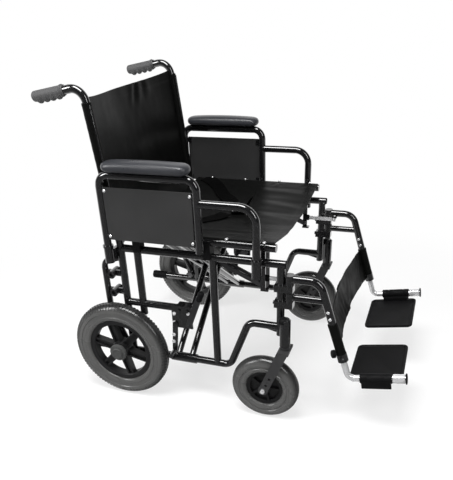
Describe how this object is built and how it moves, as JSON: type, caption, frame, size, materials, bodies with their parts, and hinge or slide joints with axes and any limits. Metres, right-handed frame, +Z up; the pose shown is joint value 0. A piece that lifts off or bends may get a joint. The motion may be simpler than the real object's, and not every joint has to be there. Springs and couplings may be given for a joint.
{
  "type": "folding transport wheelchair",
  "caption": "Folding transport wheelchair with cross-braced tube frame, sling seat and back, padded armrests, swing-away footrests, front casters and spoked rear wheels.",
  "frame": {"origin": "floor level under the middle of the chair's bounding box", "axes": "+X points the way the sitter faces, +Y to the sitter's left, +Z up"},
  "size_m": [1.0244, 0.666, 0.911],
  "materials": {
    "frame_black": "glossy black powder coat",
    "fork_grey": "satin dark grey coat",
    "plated_steel": "bright plated steel",
    "grip_rubber": "dark grey moulded rubber",
    "tyre_grey": "grey-black solid rubber",
    "wheel_plastic": "moulded black plastic",
    "black_plastic": "black moulded plastic",
    "panel_plastic": "charcoal matt plastic sheet",
    "pad_vinyl": "charcoal padded vinyl",
    "sling_vinyl": "black vinyl-coated cloth",
    "webbing": "black woven webbing"
  },
  "bodies": {
    "right_side": {"back_cane_r": "frame_black", "push_grip_r": "grip_rubber", "side_rails_r": "frame_black", "side_posts_r": "frame_black", "frame_trim_r": "black_plastic", "frame_bolts_r": "plated_steel", "lock_clamp_r": "frame_black", "back_sling_r": "sling_vinyl"},
    "left_side": {"back_cane_l": "frame_black", "push_grip_l": "grip_rubber", "side_rails_l": "frame_black", "side_posts_l": "frame_black", "frame_trim_l": "black_plastic", "frame_bolts_l": "plated_steel", "lock_clamp_l": "frame_black", "back_sling_l": "sling_vinyl"},
    "cross_a": {"cross_a": "frame_black", "seat_rail_l": "frame_black", "cross_bolt": "plated_steel", "seat_sling_l": "sling_vinyl", "seat_belt_l": "webbing", "belt_buckle": "black_plastic"},
    "cross_b": {"cross_b": "frame_black", "seat_rail_r": "frame_black", "seat_sling_r": "sling_vinyl", "seat_belt_r": "webbing"},
    "rear_wheel_r": {"rear_mag_r": "wheel_plastic", "rear_tyre_r": "tyre_grey"},
    "caster_fork_r": {"caster_fork_r": "fork_grey", "caster_bolt_r": "plated_steel"},
    "caster_wheel_r": {"caster_rim_r": "wheel_plastic", "caster_tyre_r": "tyre_grey"},
    "armrest_r": {"arm_tube_r": "frame_black", "arm_pad_r": "pad_vinyl", "arm_panel_r": "panel_plastic", "arm_screws_r": "plated_steel"},
    "hanger_r": {"hanger_r": "frame_black", "calf_strap_r": "webbing"},
    "hanger_latch_r": {"hanger_latch_r": "plated_steel"},
    "foot_tube_r": {"foot_tube_r": "plated_steel"},
    "footplate_r": {"footplate_r": "black_plastic"},
    "lock_lever_r": {"lock_lever_r": "plated_steel"},
    "lock_shoe_r": {"lock_shoe_r": "frame_black"},
    "rear_wheel_l": {"rear_mag_l": "wheel_plastic", "rear_tyre_l": "tyre_grey"},
    "caster_fork_l": {"caster_fork_l": "fork_grey", "caster_bolt_l": "plated_steel"},
    "caster_wheel_l": {"caster_rim_l": "wheel_plastic", "caster_tyre_l": "tyre_grey"},
    "armrest_l": {"arm_tube_l": "frame_black", "arm_pad_l": "pad_vinyl", "arm_panel_l": "panel_plastic", "arm_screws_l": "plated_steel"},
    "hanger_l": {"hanger_l": "frame_black", "calf_strap_l": "webbing"},
    "hanger_latch_l": {"hanger_latch_l": "plated_steel"},
    "foot_tube_l": {"foot_tube_l": "plated_steel"},
    "footplate_l": {"footplate_l": "black_plastic"},
    "lock_lever_l": {"lock_lever_l": "plated_steel"},
    "lock_shoe_l": {"lock_shoe_l": "frame_black"}
  },
  "joints": [
    {"name": "fold", "type": "hinge", "parent": "right_side", "child": "cross_a", "pos_m": [-0.149, -0.266, 0.133], "axis": [1, 0, 0], "range_deg": [0, 14.1], "deforming": ["seat_sling_r", "seat_sling_l", "back_sling_r", "back_sling_l", "calf_strap_r", "calf_strap_l", "seat_belt_r", "seat_belt_l"]},
    {"name": "cross_pivot", "type": "hinge", "parent": "cross_a", "child": "cross_b", "pos_m": [-0.149, 0, 0.325], "axis": [1, 0, 0], "range_deg": [-28.2, 0]},
    {"name": "left_fold", "type": "hinge", "parent": "cross_b", "child": "left_side", "pos_m": [-0.149, 0.266, 0.133], "axis": [1, 0, 0], "range_deg": [0, 14.1]},
    {"name": "rear_wheel_spin_r", "type": "hinge", "parent": "right_side", "child": "rear_wheel_r", "pos_m": [-0.328, -0.306, 0.156], "axis": [0, 1, 0], "continuous": true},
    {"name": "caster_swivel_r", "type": "hinge", "parent": "right_side", "child": "caster_fork_r", "pos_m": [0.184, -0.295, 0.246], "axis": [0, 0, 1], "continuous": true},
    {"name": "caster_spin_r", "type": "hinge", "parent": "caster_fork_r", "child": "caster_wheel_r", "pos_m": [0.128, -0.295, 0.1], "axis": [0, 1, 0], "continuous": true},
    {"name": "armrest_lift_r", "type": "slide", "parent": "right_side", "child": "armrest_r", "axis": [0, 0, 1], "range_m": [0, 0.06]},
    {"name": "hanger_swing_r", "type": "hinge", "parent": "right_side", "child": "hanger_r", "pos_m": [0.187, -0.266, 0.4], "axis": [0, 0, -1], "range_deg": [0, 90]},
    {"name": "latch_release_r", "type": "hinge", "parent": "hanger_r", "child": "hanger_latch_r", "pos_m": [0.21, -0.246, 0.42], "axis": [0, 0, -1], "range_deg": [0, 15], "stiffness_Nm_per_rad": 0.4},
    {"name": "footrest_length_r", "type": "slide", "parent": "hanger_r", "child": "foot_tube_r", "axis": [0.309, 0, -0.9511], "range_m": [-0.02, 0.06]},
    {"name": "footplate_flip_r", "type": "hinge", "parent": "foot_tube_r", "child": "footplate_r", "pos_m": [0.35863, -0.266, 0.153], "axis": [0.9848, 0, 0.1736], "range_deg": [0, 85]},
    {"name": "lock_lever_turn_r", "type": "hinge", "parent": "right_side", "child": "lock_lever_r", "pos_m": [-0.106, -0.282, 0.258], "axis": [0, 1, 0], "range_deg": [0, 60]},
    {"name": "lock_shoe_turn_r", "type": "hinge", "parent": "right_side", "child": "lock_shoe_r", "pos_m": [-0.149, -0.282, 0.258], "axis": [0, 1, 0], "range_deg": [0, 4.2]},
    {"name": "rear_wheel_spin_l", "type": "hinge", "parent": "left_side", "child": "rear_wheel_l", "pos_m": [-0.328, 0.306, 0.156], "axis": [0, 1, 0], "continuous": true},
    {"name": "caster_swivel_l", "type": "hinge", "parent": "left_side", "child": "caster_fork_l", "pos_m": [0.184, 0.295, 0.246], "axis": [0, 0, 1], "continuous": true},
    {"name": "caster_spin_l", "type": "hinge", "parent": "caster_fork_l", "child": "caster_wheel_l", "pos_m": [0.128, 0.295, 0.1], "axis": [0, 1, 0], "continuous": true},
    {"name": "armrest_lift_l", "type": "slide", "parent": "left_side", "child": "armrest_l", "axis": [0, 0, 1], "range_m": [0, 0.06]},
    {"name": "hanger_swing_l", "type": "hinge", "parent": "left_side", "child": "hanger_l", "pos_m": [0.187, 0.266, 0.4], "axis": [0, 0, 1], "range_deg": [0, 90]},
    {"name": "latch_release_l", "type": "hinge", "parent": "hanger_l", "child": "hanger_latch_l", "pos_m": [0.21, 0.246, 0.42], "axis": [0, 0, 1], "range_deg": [0, 15], "stiffness_Nm_per_rad": 0.4},
    {"name": "footrest_length_l", "type": "slide", "parent": "hanger_l", "child": "foot_tube_l", "axis": [0.309, 0, -0.9511], "range_m": [-0.02, 0.06]},
    {"name": "footplate_flip_l", "type": "hinge", "parent": "foot_tube_l", "child": "footplate_l", "pos_m": [0.35863, 0.266, 0.153], "axis": [-0.9848, 0, -0.1736], "range_deg": [0, 85]},
    {"name": "lock_lever_turn_l", "type": "hinge", "parent": "left_side", "child": "lock_lever_l", "pos_m": [-0.106, 0.282, 0.258], "axis": [0, 1, 0], "range_deg": [0, 60]},
    {"name": "lock_shoe_turn_l", "type": "hinge", "parent": "left_side", "child": "lock_shoe_l", "pos_m": [-0.149, 0.282, 0.258], "axis": [0, 1, 0], "range_deg": [0, 4.2]}
  ],
  "couplings": [
    {"joint": "cross_pivot", "follows": "fold", "ratio": -2},
    {"joint": "left_fold", "follows": "fold", "ratio": 1},
    {"joint": "lock_shoe_turn_r", "follows": "lock_lever_turn_r", "ratio": 0.07},
    {"joint": "lock_shoe_turn_l", "follows": "lock_lever_turn_l", "ratio": 0.07}
  ]
}
